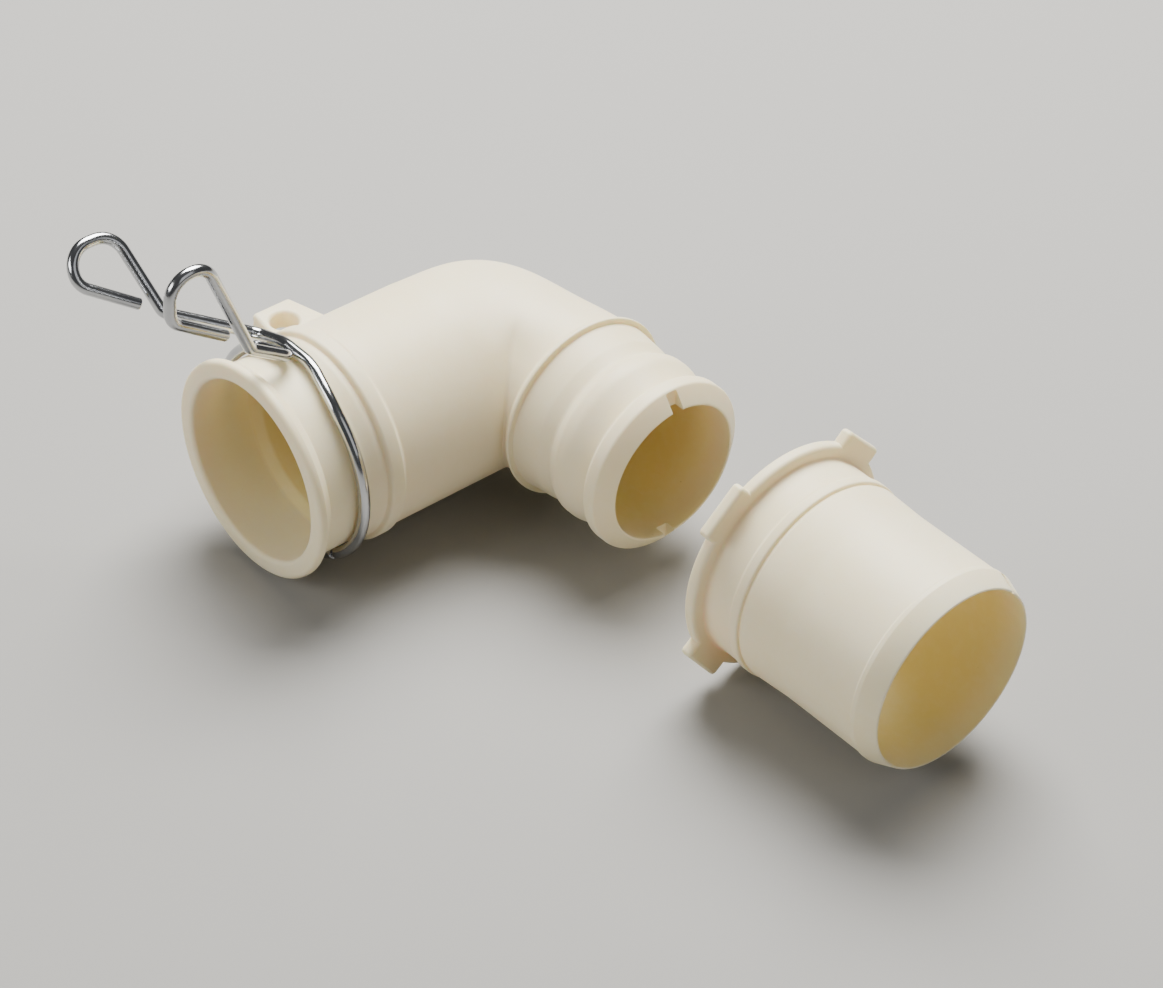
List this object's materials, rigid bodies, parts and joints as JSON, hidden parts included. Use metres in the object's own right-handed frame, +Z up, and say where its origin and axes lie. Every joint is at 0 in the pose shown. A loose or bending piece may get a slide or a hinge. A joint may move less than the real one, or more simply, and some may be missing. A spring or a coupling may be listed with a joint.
{
  "type": "hose elbow with wire clamp and sleeve",
  "caption": "Soft right-angle hose elbow with a side ear, a squeeze-open wire spring clamp on its socket and a flanged sleeve that slides onto its spout.",
  "frame": {"origin": "centre of the hose socket's mouth", "axes": "+Y into the socket along its axis, +X along the spout and the sleeve, +Z up, square to both limbs"},
  "size_m": [0.1726, 0.117, 0.0843],
  "materials": {
    "soft_plastic": "satin",
    "spring_wire": "polished"
  },
  "bodies": {
    "elbow": {"elbow": "soft_plastic"},
    "clamp_seat": {"clamp_seat": "spring_wire"},
    "clamp_swing": {"clamp_swing": "spring_wire"},
    "adapter": {"adapter": "soft_plastic"}
  },
  "joints": [
    {"name": "clamp_turn", "type": "hinge", "parent": "elbow", "child": "clamp_seat", "pos_m": [0, 0.012, 0], "axis": [0, 1, 0], "continuous": true},
    {"name": "clamp_squeeze", "type": "hinge", "parent": "clamp_seat", "child": "clamp_swing", "pos_m": [0.01465, 0.012, -0.01876], "axis": [0, 1, 0], "range_deg": [0, 18], "stiffness_Nm_per_rad": 0.5},
    {"name": "adapter_slide", "type": "slide", "parent": "elbow", "child": "adapter", "axis": [1, 0, 0], "range_m": [-0.0555, 0]}
  ]
}
